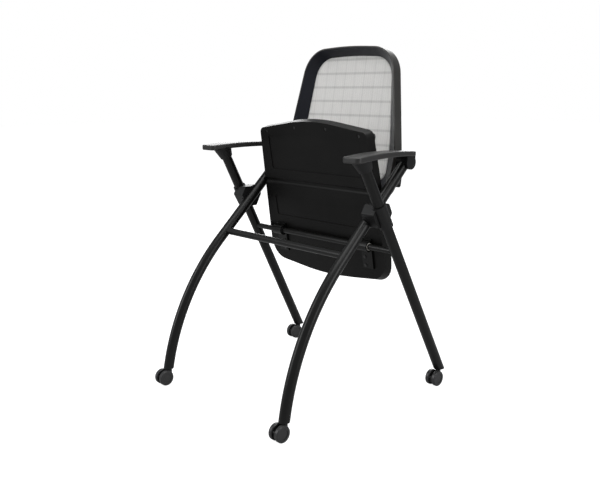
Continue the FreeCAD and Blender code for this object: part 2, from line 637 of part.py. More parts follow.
# Hinge brackets: a round bracket with a foot under the pan, and a liner that turns on the bar.
bracket_from = size("bracket_at") - size("bracket_long") / 2
hinge_start = along(seat_place.multVec(Vec(bracket_from, 0, 0)), X_AXIS)
knuckle = cylinder("knuckle", "bracket_round / 2", "bracket_long", hinge_start)
foot = box("bracket_foot", "bracket_long", "foot_long", "foot_thick", seat_place.multiply(
    Place(Vec(bracket_from, -size("foot_ahead"), under - size("foot_thick")), Turn())))
bore = cylinder("knuckle_bore", "hinge_bar_diameter / 2 + running_gap + liner_wall", "bracket_long",
                hinge_start)
above_foot = box("above_foot", "200", "200", "50", seat_place.multiply(
    Place(Vec(bracket_from - 50, -100, under), Turn())))
foot_spots = [(size("bracket_at") - 8, -size("foot_screw_near")),
              (size("bracket_at") - 8, -size("foot_screw_far"))]
hinge_screws, hinge_holes = [], []
for number, (x, out) in enumerate(foot_spots, start=1):
    face = seat_point(x, out, -size("foot_thick"))
    hinge_screws.append(screw("foot_screw_%d" % number, face, seat_up, "hinge_screw", "foot_screw_long",
                              "hinge_screw_head", "pan_head_tall"))
    hinge_holes.append(hole_for("foot_hole_%d" % number, face, seat_up, "hinge_screw", "foot_screw_long"))
bracket_form = fuse("hinge_bracket_form", knuckle, foot)
hinge_bracket_left = cut("hinge_bracket_left", bracket_form, bore, above_foot, *hinge_holes)
liner_form = cylinder("liner_form", "hinge_bar_diameter / 2 + running_gap + liner_wall", "bracket_long",
                      hinge_start)
liner_bore = cylinder("liner_bore", "hinge_bar_diameter / 2 + running_gap", "bracket_long", hinge_start)
hinge_liner_left = cut("hinge_liner_left", liner_form, liner_bore)
foot_holes = fuse("foot_holes", *hinge_holes)
foot_holes_right = mirrored("foot_holes_right", foot_holes)
seat_pan_cut = cut("seat_pan_cut", seat_pan, saddle_cut, foot_holes, foot_holes_right)
foot_screws_left = group("foot_screws_left", *hinge_screws)
hinge_screw_set = group("hinge_screws", foot_screws_left,
                        mirrored("foot_screws_right", foot_screws_left))
seat_screw_set = group("seat_screws", *pan_screws)
screw_tools = fuse("screw_tools", *[item for item in pan_screws])
seat_board = cut("seat_board", board, screw_tools)

# Rings on the hinge bar, which keep the seat in the middle.
rings = []
for side in (-1, 1):
    inner = bracket_from - size("ring_gap") - size("ring_thick")
    start = min(side * inner, side * (inner + size("ring_thick")))
    place = Place(Vec(start, hinge_at.y, hinge_at.z), Turn(Y_AXIS, 90))
    ring_name = "ring_left" if side > 0 else "ring_right"
    outer = cylinder(ring_name + "_form", "ring_diameter / 2", "ring_thick", place)
    inner_hole = cylinder(ring_name + "_bore", "hinge_bar_diameter / 2", "ring_thick", place)
    rings.append(cut(ring_name, outer, inner_hole))
hinge_rings = group("hinge_rings", *rings)


# Casters.
def leg_plug(name, rod, hollow, at):
    """The end plug of a leg tube, with the upright hole that the caster's stem turns in."""
    inside = common(name + "_inside", hollow, slab(name + "_in", at.z, at.z + size("plug_in")))
    lip = common(name + "_lip", rod, slab(name + "_out", at.z - size("plug_lip"), at.z))
    socket = cylinder(name + "_socket", "stem_diameter / 2 + running_gap", "plug_lip + stem_up + 1.3",
                      Place(Vec(at.x, at.y, at.z - size("plug_lip") - 1), Turn()))
    return cut(name, fuse(name + "_form", inside, lip), socket)


def wheel(name, centre, side):
    """A solid nylon wheel: the half section turned about the axle, open on the inner side."""
    turned = new_body(name, Place(centre + X_AXIS * side * (size("web_width") / 2 + size("wheel_side_gap")),
                                  Turn(Z_AXIS, 0 if side > 0 else 180)))
    radius, width = size("wheel_diameter") / 2, size("wheel_width")
    hole = size("axle_diameter") / 2 + size("running_gap")
    deep = size("axle_in_wheel") + 0.3
    edge, hub, dish = size("wheel_edge"), size("hub_diameter") / 2, size("hub_dish")
    back = size("wheel_back_dish")
    half = draw(sketch(turned, "XY_Plane", name + "_section"), round_corners([
        (0, hole, 0), (0, 8, 0), (back, 8, 0), (back, radius - 4, 0), (0, radius - 4, 0),
        (0, radius, edge), (width, radius, edge), (width, hub, 0), (width - dish, hub, 0),
        (width - dish, 0, 0), (deep, 0, 0), (deep, hole, 0)]))
    solid = turned.newObject("PartDesign::Revolution", name + "_turned")
    solid.Profile, solid.ReferenceAxis, solid.Angle = half, (half, ["H_Axis"]), 360
    return turned


def caster(name, at):
    """One twin-wheel caster under the point: stem, fork, axle and its two wheels."""
    radius = size("wheel_diameter") / 2
    centre = Vec(at.x, at.y - size("trail"), radius)
    collar_top = size("foot_height") - size("plug_lip") - size("stem_clear")
    web = new_body(name + "_web", Place(Vec(at.x, at.y, 0), Turn()))
    trail, half_collar = size("trail"), size("stem_collar") / 2
    side = draw(sketch(web, "YZ_Plane", name + "_web_outline"), round_corners([
        (half_collar, collar_top, 1), (half_collar, radius * 0.62, 8), (-trail * 0.7, radius * 0.24, 9),
        (-trail - radius * 0.72, radius * 0.42, 8), (-trail - radius * 0.8, radius * 1.3, 3),
        (-trail - radius * 0.5, radius * 1.42, 3), (-half_collar - 3, radius * 1.42, 2),
        (-half_collar, collar_top, 1)]))
    pad(web, side, name + "_web_pad", "web_width", side="Symmetric")
    slot = draw(sketch(web, "YZ_Plane", name + "_slot_outline"), round_corners([
        (-half_collar - 3, radius * 2, 0), (-half_collar - 3, radius * 1.1, 2),
        (-trail - radius * 0.6, radius * 1.1, 2), (-trail - radius * 0.6, radius * 2, 0)]))
    slit = web.newObject("PartDesign::Pocket", name + "_slot")
    slit.Profile, slit.SideType = slot, "Symmetric"
    bind(slit, Length="fork_slot")
    collar = cylinder(name + "_collar", "stem_collar / 2", "collar_tall",
                      Place(Vec(at.x, at.y, collar_top - size("collar_tall")), Turn()))
    stem_low = collar_top - size("stem_in_fork")
    stem = cylinder("caster_stem_" + name, "stem_diameter / 2",
                    "%r" % (size("foot_height") + size("stem_up") - stem_low),
                    Place(Vec(at.x, at.y, stem_low), Turn()))
    long = size("web_width") + 2 * (size("wheel_side_gap") + size("axle_in_wheel"))
    axle = cylinder("caster_axle_" + name, "axle_diameter / 2",
                    "web_width + 2 * (wheel_side_gap + axle_in_wheel)",
                    Place(centre - X_AXIS * (long / 2), Turn(Y_AXIS, 90)))
    fork = cut("caster_fork_" + name, fuse(name + "_fork_form", web, collar), stem, axle)
    return {"caster_stem_" + name: stem, "caster_axle_" + name: axle, "caster_fork_" + name: fork,
            "wheel_%s_a" % name: wheel("wheel_%s_a" % name, centre, 1),
            "wheel_%s_b" % name: wheel("wheel_%s_b" % name, centre, -1)}


nodes = {
    "front_leg_left": front_leg_left, "front_leg_right": mirrored("front_leg_right", front_leg_left),
    "rear_leg_left": rear_leg_left, "rear_leg_right": mirrored("rear_leg_right", rear_leg_left),
    "front_crossbar": front_crossbar, "hinge_bar": hinge_bar,
    "crossing_block_left": crossing_block_left,
    "crossing_block_right": mirrored("crossing_block_right", crossing_block_left),
    "crossing_pegs": group("crossing_pegs", crossing_peg, mirrored("crossing_peg_right", crossing_peg)),
    "armrest_left": armrest_left, "armrest_right": mirrored("armrest_right", armrest_left),
    "armrest_collar_left": armrest_collar_left,
    "armrest_collar_right": mirrored("armrest_collar_right", armrest_collar_left),
    "armrest_boss_left": armrest_boss_left,
    "armrest_boss_right": mirrored("armrest_boss_right", armrest_boss_left),
    "back_frame": back_frame_drilled, "back_mesh": back_mesh, "mesh_cord": mesh_cord,
    "back_bracket_left": back_bracket_left,
    "back_bracket_right": mirrored("back_bracket_right", back_bracket_left),
    "back_screws": back_screws,
    "seat_pan": seat_pan_cut, "seat_board": seat_board, "seat_cushion": cushion,
    "seat_screws": seat_screw_set, "hinge_bracket_left": hinge_bracket_left,
    "hinge_bracket_right": mirrored("hinge_bracket_right", hinge_bracket_left),
    "hinge_liner_left": hinge_liner_left,
    "hinge_liner_right": mirrored("hinge_liner_right", hinge_liner_left),
    "hinge_screws": hinge_screw_set, "hinge_rings": hinge_rings,
}
for end, rod, hollow, plane in (("front", front_rod, front_bore, front_plane),
                                ("rear", rear_rod, rear_bore, rear_plane)):
    plug = leg_plug("leg_plug_%s_left" % end, rod, hollow, plane.Base)
    nodes["leg_plug_%s_left" % end] = plug
    nodes["leg_plug_%s_right" % end] = mirrored("leg_plug_%s_right" % end, plug)
    nodes.update(caster(end + "_left", plane.Base))
    nodes.update(caster(end + "_right", Vec(-plane.Base.x, plane.Base.y, plane.Base.z)))

for name, thing in nodes.items():
    thing.Label = name
doc.recompute()

failed = [thing.Name for thing in doc.Objects
          if any(word in thing.State for word in ("Invalid", "Error"))]
if failed:
    raise RuntimeError("these objects did not build: " + ", ".join(failed))
for name, thing in nodes.items():
    if thing.Shape.isNull() or not thing.Shape.isValid() or not thing.Shape.Solids:
        raise RuntimeError(name + " has no valid solid")

os.makedirs("parts", exist_ok=True)
bounds = FreeCAD.BoundBox()
for name, thing in nodes.items():
    thing.Shape.exportStep(os.path.join("parts", name + ".step"))
    bounds.add(thing.Shape.BoundBox)
print("%d nodes" % len(nodes))
print("bounds x %.2f %.2f y %.2f %.2f z %.2f %.2f" % (
    bounds.XMin, bounds.XMax, bounds.YMin, bounds.YMax, bounds.ZMin, bounds.ZMax))
print("bounds middle y %.3f" % ((bounds.YMin + bounds.YMax) / 2))
down = fold - math.degrees(math.atan2(front_bar_at.z - hinge_at.z, hinge_at.y - front_bar_at.y)
                           - math.atan2(saddle_rise, saddle_out))
print("hinge axis y %.4f z %.4f, seat comes down by %.3f degrees" % (hinge_at.y, hinge_at.z, down))
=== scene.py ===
# %% [markdown]
# # A nesting chair with a flip-up seat
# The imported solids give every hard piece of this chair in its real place. This lesson dresses
# them: it gives each piece a finish, and makes the two soft pieces, the seat cushion and the
# mesh of the back, as surfaces of their own.

import json
import math

import bmesh
import bpy
import numpy as np
from mathutils import Matrix, Vector


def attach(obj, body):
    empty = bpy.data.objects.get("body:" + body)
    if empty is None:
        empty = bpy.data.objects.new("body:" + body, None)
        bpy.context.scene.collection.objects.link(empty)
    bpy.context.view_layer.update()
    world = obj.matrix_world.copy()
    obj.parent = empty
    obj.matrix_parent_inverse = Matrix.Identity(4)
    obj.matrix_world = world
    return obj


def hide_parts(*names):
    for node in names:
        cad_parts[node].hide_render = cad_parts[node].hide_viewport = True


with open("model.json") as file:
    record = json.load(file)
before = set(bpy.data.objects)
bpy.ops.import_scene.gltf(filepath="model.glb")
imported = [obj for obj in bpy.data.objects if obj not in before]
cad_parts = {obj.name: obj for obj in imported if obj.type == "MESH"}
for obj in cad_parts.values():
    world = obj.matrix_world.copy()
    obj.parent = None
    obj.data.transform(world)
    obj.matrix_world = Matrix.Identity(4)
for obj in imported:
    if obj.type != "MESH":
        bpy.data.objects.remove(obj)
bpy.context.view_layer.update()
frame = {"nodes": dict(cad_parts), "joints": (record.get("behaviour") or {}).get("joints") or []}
nodes = frame["nodes"]
scene = bpy.context.scene


# %% [markdown]
# The camera stands in front of the chair, a little above the seat, and sees it from the
# sitter's left. Its direction is kept as two angles and a small roll, so the whole framing can
# be changed by one number at a time. The lens is given in millimetres for a 36 mm wide sensor.

# %% Camera
LENS = 45.35
AIM = Vector((0.00113, 0.02025, 0.40545))
AZIMUTH, ELEVATION, ROLL = math.radians(46.82), math.radians(11.45), math.radians(0.39)
DISTANCE = 2.05035

towards_camera = Vector((math.sin(AZIMUTH) * math.cos(ELEVATION),
                         -math.cos(AZIMUTH) * math.cos(ELEVATION), math.sin(ELEVATION)))
sight = (-towards_camera).to_track_quat("-Z", "Y").to_matrix() @ Matrix.Rotation(-ROLL, 3, "Z")
camera_data = bpy.data.cameras.new("camera")
camera_data.lens, camera_data.sensor_width = LENS, 36
camera = bpy.data.objects.new("camera", camera_data)
camera.matrix_world = Matrix.Translation(AIM + towards_camera * DISTANCE) @ sight.to_4x4()
scene.collection.objects.link(camera)
scene.camera = camera
scene.view_settings.view_transform = "Standard"
print("camera at", [round(v, 3) for v in camera.matrix_world.translation])

# %% [markdown]
# The floor and the sky are white to the camera, but send only moderate light to the chair. The
# floor's own light is mixed with a glow that only the camera sees. Where the lamps reach it, the
# sum is white, and under the chair it stays a little grey, so the casters keep a faint shadow.

# %% Floor and sky
SKY_WHITE = (1.0, 1.0, 1.0, 1.0)
SKY_LIGHT = (0.34, 0.345, 0.355, 1.0)
FLOOR_GREY, FLOOR_GLOW = 0.42, 0.93


def shader_tree(material):
    """Empties a material's node tree and gives it back with a fresh output node."""
    material.use_nodes = True
    tree = material.node_tree
    tree.nodes.clear()
    return tree, tree.nodes.new("ShaderNodeOutputMaterial")


def floor_mesh(half):
    """A flat square whose corners lie half a side from the middle, at height nought."""
    mesh = bpy.data.meshes.new("floor")
    mesh.from_pydata([(-half, -half, 0), (half, -half, 0), (half, half, 0), (-half, half, 0)], [],
                     [(0, 1, 2, 3)])
    return mesh


floor = bpy.data.objects.new("floor", floor_mesh(14.0))
scene.collection.objects.link(floor)
floor_paint = bpy.data.materials.new("pale_floor")
tree, out = shader_tree(floor_paint)
matt = tree.nodes.new("ShaderNodeBsdfDiffuse")
matt.inputs["Color"].default_value = (FLOOR_GREY, FLOOR_GREY, FLOOR_GREY, 1)
glow = tree.nodes.new("ShaderNodeEmission")
glow.inputs["Strength"].default_value = FLOOR_GLOW
only_seen = tree.nodes.new("ShaderNodeLightPath")
both_parts = tree.nodes.new("ShaderNodeAddShader")
by_ray = tree.nodes.new("ShaderNodeMixShader")
tree.links.new(matt.outputs[0], both_parts.inputs[0])
tree.links.new(glow.outputs[0], both_parts.inputs[1])
tree.links.new(only_seen.outputs["Is Camera Ray"], by_ray.inputs[0])
tree.links.new(matt.outputs[0], by_ray.inputs[1])
tree.links.new(both_parts.outputs[0], by_ray.inputs[2])
tree.links.new(by_ray.outputs[0], out.inputs["Surface"])
floor.data.materials.append(floor_paint)

world = bpy.data.worlds.new("studio")
scene.world = world
world.use_nodes = True
sky = world.node_tree
sky.nodes.clear()
sky_out = sky.nodes.new("ShaderNodeOutputWorld")
seen = sky.nodes.new("ShaderNodeBackground")
seen.inputs["Color"].default_value = SKY_WHITE
lit = sky.nodes.new("ShaderNodeBackground")
lit.inputs["Color"].default_value = SKY_LIGHT
path = sky.nodes.new("ShaderNodeLightPath")
rays = sky.nodes.new("ShaderNodeMath")
rays.operation = "MAXIMUM"
choose = sky.nodes.new("ShaderNodeMixShader")
sky.links.new(path.outputs["Is Camera Ray"], rays.inputs[0])
sky.links.new(path.outputs["Is Transmission Ray"], rays.inputs[1])
sky.links.new(rays.outputs[0], choose.inputs[0])
sky.links.new(lit.outputs[0], choose.inputs[1])
sky.links.new(seen.outputs[0], choose.inputs[2])
sky.links.new(choose.outputs[0], sky_out.inputs["Surface"])

# %% [markdown]
# Four large soft lamps stand round the chair, as in a product studio. The overhead one and the
# one behind give the armrests their pale tops, because a satin surface that is seen at a
# slant mirrors what stands beyond it. The two at the sides draw long streaks on the tubes.

# %% Lamps
CHAIR_MIDDLE = (0, 0, 0.45)


def soft_lamp(name, place, wide, tall, power, aim=CHAIR_MIDDLE):
    """A rectangular lamp at one point that faces another."""
    data = bpy.data.lights.new(name, "AREA")
    data.shape, data.size, data.size_y, data.energy = "RECTANGLE", wide, tall, power
    lamp = bpy.data.objects.new(name, data)
    turn = (Vector(aim) - Vector(place)).to_track_quat("-Z", "Y").to_matrix().to_4x4()
    lamp.matrix_world = Matrix.Translation(Vector(place)) @ turn
    lamp.visible_camera = False
    scene.collection.objects.link(lamp)
    return lamp


soft_lamp("overhead", (0.2, 0.1, 2.6), 2.4, 2.4, 46)
soft_lamp("behind", (-1.9, 2.4, 1.5), 2.6, 1.4, 52)
soft_lamp("left_side", (-1.5, -2.4, 1.7), 0.9, 2.2, 26)
soft_lamp("right_side", (2.8, 0.5, 1.3), 0.9, 2.2, 20)

# %% [markdown]
# Every hard finish on this chair is a Principled shader whose colour and roughness are stirred a
# little by a slow noise, with a fine grain as bump. A helper makes that common base, so each
# finish only states its own numbers: its colour, how rough it is, how coarse its grain is.

# %% Finish helper


def grained(material, colour, rough, grain, depth, drift=0.12, specular=0.5, metal=0.0):
    """Fills a material with a grained shader and gives back its tree, shader and colour output.

    The colour is multiplied by one plus or minus drift, as a slow noise says. grain is the fine
    noise's scale in cells per metre, and depth is how high its bump stands, in metres.
    """
    tree, out = shader_tree(material)
    node, link = tree.nodes.new, tree.links.new
    shader = node("ShaderNodeBsdfPrincipled")
    shader.inputs["Metallic"].default_value = metal
    shader.inputs["Specular IOR Level"].default_value = specular
    where = node("ShaderNodeTexCoord")
    slow = node("ShaderNodeTexNoise")
    slow.inputs["Scale"].default_value = 14
    slow.inputs["Detail"].default_value = 4
    link(where.outputs["Object"], slow.inputs["Vector"])
    shade = node("ShaderNodeValToRGB")
    low_end, high_end = shade.color_ramp.elements
    low_end.position, high_end.position = 0.35, 0.65
    low_end.color = (*[c * (1 - drift) for c in colour], 1)
    high_end.color = (*[c * (1 + drift) for c in colour], 1)
    link(slow.outputs["Fac"], shade.inputs["Fac"])
    link(shade.outputs["Color"], shader.inputs["Base Color"])
    rub = node("ShaderNodeMapRange")
    rub.inputs["To Min"].default_value = rough - 0.05
    rub.inputs["To Max"].default_value = rough + 0.05
    link(slow.outputs["Fac"], rub.inputs["Value"])
    link(rub.outputs["Result"], shader.inputs["Roughness"])
    fine = node("ShaderNodeTexNoise")
    fine.inputs["Scale"].default_value = grain
    fine.inputs["Detail"].default_value = 2
    link(where.outputs["Object"], fine.inputs["Vector"])
    bump = node("ShaderNodeBump")
    bump.inputs["Distance"].default_value = depth
    bump.inputs["Strength"].default_value = 0.6
    link(fine.outputs["Fac"], bump.inputs["Height"])
    link(bump.outputs["Normal"], shader.inputs["Normal"])
    link(shader.outputs[0], out.inputs["Surface"])
    return tree, shader, shade.outputs["Color"]


def finish(name, *numbers, **more):
    """A new material with a grained shader."""
    material = bpy.data.materials.new(name)
    grained(material, *numbers, **more)
    return material


def dress(material, *names):
    """Puts a finish on the named solid pieces."""
    for name in names:
        mesh = nodes[name].data
        mesh.materials.clear()
        mesh.materials.append(material)


def both(*stems):
    """The left and right piece of each stem."""
    return [stem + side for stem in stems for side in ("_left", "_right")]


# %% [markdown]
# The tubes carry a black powder coat. It is satin, with a faint orange peel that softens the
# reflection into a long streak.

# %% Powder coat
powder_coat = finish("powder_coat", (0.005, 0.005, 0.0046), 0.3, 700, 0.00005, specular=0.34)
dress(powder_coat, "front_crossbar", "hinge_bar",
      *both("front_leg", "rear_leg", "back_bracket", "hinge_bracket"))

# %% [markdown]
# The moulded pieces differ in how they were textured: the joints and the pan are dull, and the
# armrest pads are satin with a pale sheen on their tops.

# %% Moulded plastics
joint_plastic = finish("joint_plastic", (0.008, 0.008, 0.0082), 0.45, 1500, 0.00005, specular=0.35)
dress(joint_plastic, "hinge_rings", *both("crossing_block", "armrest_collar", "armrest_boss"))
plug_plastic = finish("plug_plastic", (0.006, 0.006, 0.006), 0.38, 1300, 0.00003, specular=0.35)
dress(plug_plastic, *both("leg_plug_front", "leg_plug_rear"))
pad_plastic = finish("pad_plastic", (0.02, 0.0195, 0.0187), 0.42, 1300, 0.00006, specular=0.6)
dress(pad_plastic, *both("armrest"))
pan_plastic = finish("pan_plastic", (0.0045, 0.0043, 0.004), 0.42, 1100, 0.0001, drift=0.2,
                     specular=0.2)
dress(pan_plastic, "seat_pan")
cord_rubber = finish("cord_rubber", (0.02, 0.02, 0.02), 0.7, 1500, 0.00005)
dress(cord_rubber, "mesh_cord")
nylon = finish("nylon", (0.6, 0.58, 0.53), 0.45, 1200, 0.00003)
dress(nylon, *both("hinge_liner"))

# %% [markdown]
# The hoop of the back is one black plastic, with its light and shade painted in two tones: its inner
# band, which slopes towards the mesh, gets a painted blue-black reflection, and its outer wall a
# painted lit grey. A point is on the outer wall where its normal points away from the middle of the back,
# which the two vectors' dot product tells.

# %% Back hoop
hoop_plastic = bpy.data.materials.new("hoop_plastic")
# The hoop's base grey is the outer wall's painted lit tone, not the plastic's own colour.
tree, shader, painted_lit_wall = grained(hoop_plastic, (0.03, 0.0285, 0.026), 0.36, 1200, 0.00004, specular=0.45)
back_middle = (0, 0.2, 0.72)
where = tree.nodes.new("ShaderNodeTexCoord")
from_middle = tree.nodes.new("ShaderNodeVectorMath")
from_middle.operation = "SUBTRACT"
from_middle.inputs[1].default_value = back_middle
towards_edge = tree.nodes.new("ShaderNodeVectorMath")
towards_edge.operation = "DOT_PRODUCT"
# Painted light: a blue-black painted reflection on the inner band, and a lighter painted lit grey on the
# outer wall.
painted_band_and_wall_light = tree.nodes.new("ShaderNodeMix")
painted_band_and_wall_light.data_type = "RGBA"
painted_band_and_wall_light.inputs["A"].default_value = (0.0105, 0.0115, 0.018, 1)
share = tree.nodes.new("ShaderNodeMapRange")
share.inputs["From Min"].default_value = -0.01
share.inputs["From Max"].default_value = 0.01
tree.links.new(where.outputs["Object"], from_middle.inputs[0])
tree.links.new(from_middle.outputs["Vector"], towards_edge.inputs[0])
tree.links.new(where.outputs["Normal"], towards_edge.inputs[1])
tree.links.new(towards_edge.outputs["Value"], share.inputs["Value"])
tree.links.new(share.outputs["Result"], painted_band_and_wall_light.inputs["Factor"])
tree.links.new(painted_lit_wall, painted_band_and_wall_light.inputs["B"])
tree.links.new(painted_band_and_wall_light.outputs["Result"], shader.inputs["Base Color"])
dress(hoop_plastic, "back_frame")

# %% Metals and wood
CASTERS = ("front_left", "front_right", "rear_left", "rear_right")
bright_steel = finish("bright_steel", (0.42, 0.42, 0.43), 0.32, 600, 0.00002, metal=1.0)
dress(bright_steel, "crossing_pegs", *["caster_axle_" + corner for corner in CASTERS])
black_steel = finish("black_steel", (0.05, 0.05, 0.05), 0.35, 700, 0.00003, metal=0.6)
dress(black_steel, "back_screws", "seat_screws", "hinge_screws",
      *["caster_stem_" + corner for corner in CASTERS])
plywood = bpy.data.materials.new("plywood")
tree, shader, colour = grained(plywood, (0.42, 0.28, 0.15), 0.6, 300, 0.0002)
rings = tree.nodes.new("ShaderNodeTexWave")
rings.inputs["Scale"].default_value = 60
rings.inputs["Distortion"].default_value = 3
tint = tree.nodes.new("ShaderNodeMix")
tint.data_type, tint.blend_type = "RGBA", "MULTIPLY"
tint.inputs["Factor"].default_value = 0.25
tree.links.new(tree.nodes["Texture Coordinate"].outputs["Object"], rings.inputs["Vector"])
tree.links.new(colour, tint.inputs["A"])
tree.links.new(rings.outputs["Color"], tint.inputs["B"])
tree.links.new(tint.outputs["Result"], shader.inputs["Base Color"])
dress(plywood, "seat_board")

# %% Casters
hood_nylon = finish("hood_nylon", (0.006, 0.006, 0.0062), 0.42, 1500, 0.00004, specular=0.35)
wheel_nylon = finish("wheel_nylon", (0.03, 0.03, 0.0305), 0.34, 1500, 0.00004)
for corner in CASTERS:
    dress(hood_nylon, "caster_fork_" + corner)
    dress(wheel_nylon, "wheel_%s_a" % corner, "wheel_%s_b" % corner)

# %% [markdown]
# ## The seat cushion
# The seat has its own axes: forward from the hinge, up from the pan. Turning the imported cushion
# into those axes makes it lie flat, so its underside is the lowest height and its top the
# highest. The cover is drawn in first, and blown up by cloth simulation afterwards: the
# pressure inside rounds its edges as foam rounds a tight cover. Its underside is pinned, since
# it lies on the board and the pan's rim.

# %% Cushion
HINGE = np.array([joint["pos_m"] for joint in frame["joints"] if joint["name"] == "seat_flip"][0])
FOLD = math.radians(90 - 9.65)
SHRINK_SIDE, SHRINK_TOP = 0.004, 0.004
CAP = 0.0075
VOXEL = 0.005
SEAM_HEIGHT, SEAM_DEPTH, SEAM_WIDE = 0.0165, 0.0013, 0.0022


def seat_axes(points):
    """World points in the seat's axes: turned about the hinge by the fold, and back to the hinge."""
    turn = np.array(Matrix.Rotation(FOLD, 3, "X"))
    return (points - HINGE) @ turn.T


def world_axes(points):
    """Points in the seat's axes turned back into the world."""
    turn = np.array(Matrix.Rotation(-FOLD, 3, "X"))
    return points @ turn.T + HINGE


def points_of(mesh):
    """The mesh's points as rows of x, y and z."""
    flat = np.empty(len(mesh.vertices) * 3)
    mesh.vertices.foreach_get("co", flat)
    return flat.reshape(-1, 3)


def set_points(mesh, points):
    """Moves the mesh's points to these rows of x, y and z."""
    mesh.vertices.foreach_set("co", np.ascontiguousarray(points, dtype=np.float32).ravel())
    mesh.update()


def applied(piece):
    """Applies the piece's modifiers: its mesh becomes what they show, and they are removed."""
    depsgraph = bpy.context.evaluated_depsgraph_get()
    mesh = bpy.data.meshes.new_from_object(piece.evaluated_get(depsgraph), depsgraph=depsgraph)
    old = piece.data
    piece.modifiers.clear()
    piece.data = mesh
    bpy.data.meshes.remove(old)
    mesh.name = piece.name


def merged_copy(name, node):
    """A new object with a node's mesh, its loose triangles joined at their shared points."""
    mesh = node.data.copy()
    work = bmesh.new()
    work.from_mesh(mesh)
    bmesh.ops.transform(work, matrix=node.matrix_world, verts=work.verts)
    bmesh.ops.remove_doubles(work, verts=work.verts, dist=0.00005)
    work.to_mesh(mesh)
    work.free()
    piece = bpy.data.objects.new(name, mesh)
    scene.collection.objects.link(piece)
    return piece


def drawn_in(points, low, high):
    """A smaller cushion: its sides move in by a fixed amount, and its height shrinks from the top.

    Across and along, each point keeps its share of the half width. The underside stays put.
    """
    middle = (points.min(0) + points.max(0)) / 2
    half = (points.max(0) - points.min(0)) / 2
    out = points.copy()
    for axis in (0, 1):
        out[:, axis] = middle[axis] + (points[:, axis] - middle[axis]) * (1 - SHRINK_SIDE / half[axis])
    share = (points[:, 2] - low) / (high - low)
    out[:, 2] = low + share * (high - low - SHRINK_TOP)
    return out


def with_seam(points, low):
    """The cover's seam: at one height on the sides, points move towards the middle of the seat.

    The move is the seam's depth times a bell curve of the height above or below the seam.
    """
    middle = (points.min(0) + points.max(0)) / 2
    inward = middle[None, :2] - points[:, :2]
    inward /= np.maximum(np.linalg.norm(inward, axis=1, keepdims=True), 1e-9)
    bell = np.exp(-((points[:, 2] - low - SEAM_HEIGHT) / SEAM_WIDE) ** 2)
    half = (points.max(0) - points.min(0)) / 2
    edge = np.max(np.abs(points[:, :2] - middle[:2]) / half[:2], axis=1) > 0.7
    out = points.copy()
    out[:, :2] += inward * (SEAM_DEPTH * bell * edge)[:, None]
    return out


cushion = merged_copy("cushion_cover", nodes["seat_cushion"])
flat_points = seat_axes(points_of(cushion.data))
low, high = flat_points[:, 2].min(), flat_points[:, 2].max()
set_points(cushion.data, drawn_in(flat_points, low, high))
remesh = cushion.modifiers.new("voxels", "REMESH")
remesh.mode, remesh.voxel_size = "VOXEL", VOXEL
applied(cushion)
start = points_of(cushion.data)

pinned = cushion.vertex_groups.new(name="underside")
pinned.add(np.flatnonzero(start[:, 2] < low + 0.6 * VOXEL).tolist(), 1.0, "REPLACE")
cloth = cushion.modifiers.new("cloth", "CLOTH")
cloth.settings.use_pressure = True
cloth.settings.uniform_pressure_force = 4
cloth.settings.vertex_group_mass = "underside"
cloth.settings.effector_weights.gravity = 0
cloth.point_cache.frame_start, cloth.point_cache.frame_end = 1, 20
for step in range(1, 21):
    scene.frame_set(step)
applied(cushion)
scene.frame_set(1)
blown = points_of(cushion.data)
moved = blown - start
length = np.linalg.norm(moved, axis=1, keepdims=True)
blown = start + moved * np.minimum(1, CAP / np.maximum(length, 1e-9))
blown[:, 2] = np.clip(blown[:, 2], low, high + 0.0005)
set_points(cushion.data, blown)
finer = cushion.modifiers.new("finer", "SUBSURF")
finer.levels = finer.render_levels = 1
applied(cushion)
seamed = with_seam(points_of(cushion.data), low)
seamed[:, 2] = np.maximum(seamed[:, 2], low)
set_points(cushion.data, world_axes(seamed))
cushion.data.polygons.foreach_set("use_smooth", np.ones(len(cushion.data.polygons), dtype=bool))
cushion.data.materials.clear()
print("cushion:", len(cushion.data.polygons), "faces, longest move %.1f mm" % (length.max() * 1000))

# %% [markdown]
# The cover is a plain black weave. Threads run both ways across the seat, and the two sets are
# two sine waves whose crests take turns, so the bump looks woven at any size.

# %% Cushion cover
cover = bpy.data.materials.new("cushion_cloth")
tree, shader, colour = grained(cover, (0.0075, 0.0075, 0.008), 0.85, 900, 0.0001, drift=0.2, specular=0.15)
shader.inputs["Sheen Weight"].default_value = 0.12
shader.inputs["Sheen Roughness"].default_value = 0.6
node, link = tree.nodes.new, tree.links.new
spread = node("ShaderNodeSeparateXYZ")
link(tree.nodes["Texture Coordinate"].outputs["Object"], spread.inputs[0])


def wave_of(tree, value, period, phase=0.0):
    """A sine wave of a coordinate, from minus one to one, with this period in metres."""
    scaled = tree.nodes.new("ShaderNodeMath")
    scaled.operation = "MULTIPLY_ADD"
    scaled.inputs[1].default_value = 2 * math.pi / period
    scaled.inputs[2].default_value = phase
    wave = tree.nodes.new("ShaderNodeMath")
    wave.operation = "SINE"
    tree.links.new(value, scaled.inputs[0])
    tree.links.new(scaled.outputs[0], wave.inputs[0])
    return wave.outputs[0]


def combine(tree, operation, one, other):
    """One number made from two others."""
    both_numbers = tree.nodes.new("ShaderNodeMath")
    both_numbers.operation = operation
    for socket, value in zip(both_numbers.inputs, (one, other)):
        if isinstance(value, (int, float)):
            socket.default_value = value
        else:
            tree.links.new(value, socket)
    return both_numbers.outputs[0]


THREAD = 0.0016
across = wave_of(tree, spread.outputs["X"], THREAD)
along = wave_of(tree, spread.outputs["Z"], THREAD)
woven = combine(tree, "MULTIPLY", across, along)
weave_bump = node("ShaderNodeBump")
weave_bump.inputs["Distance"].default_value = 0.0003
link(woven, weave_bump.inputs["Height"])
link(tree.nodes["Bump"].outputs["Normal"], weave_bump.inputs["Normal"])
link(weave_bump.outputs["Normal"], shader.inputs["Normal"])
cushion.data.materials.append(cover)
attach(cushion, "seat")
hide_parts("seat_cushion")
dress(cover, "seat_cushion")

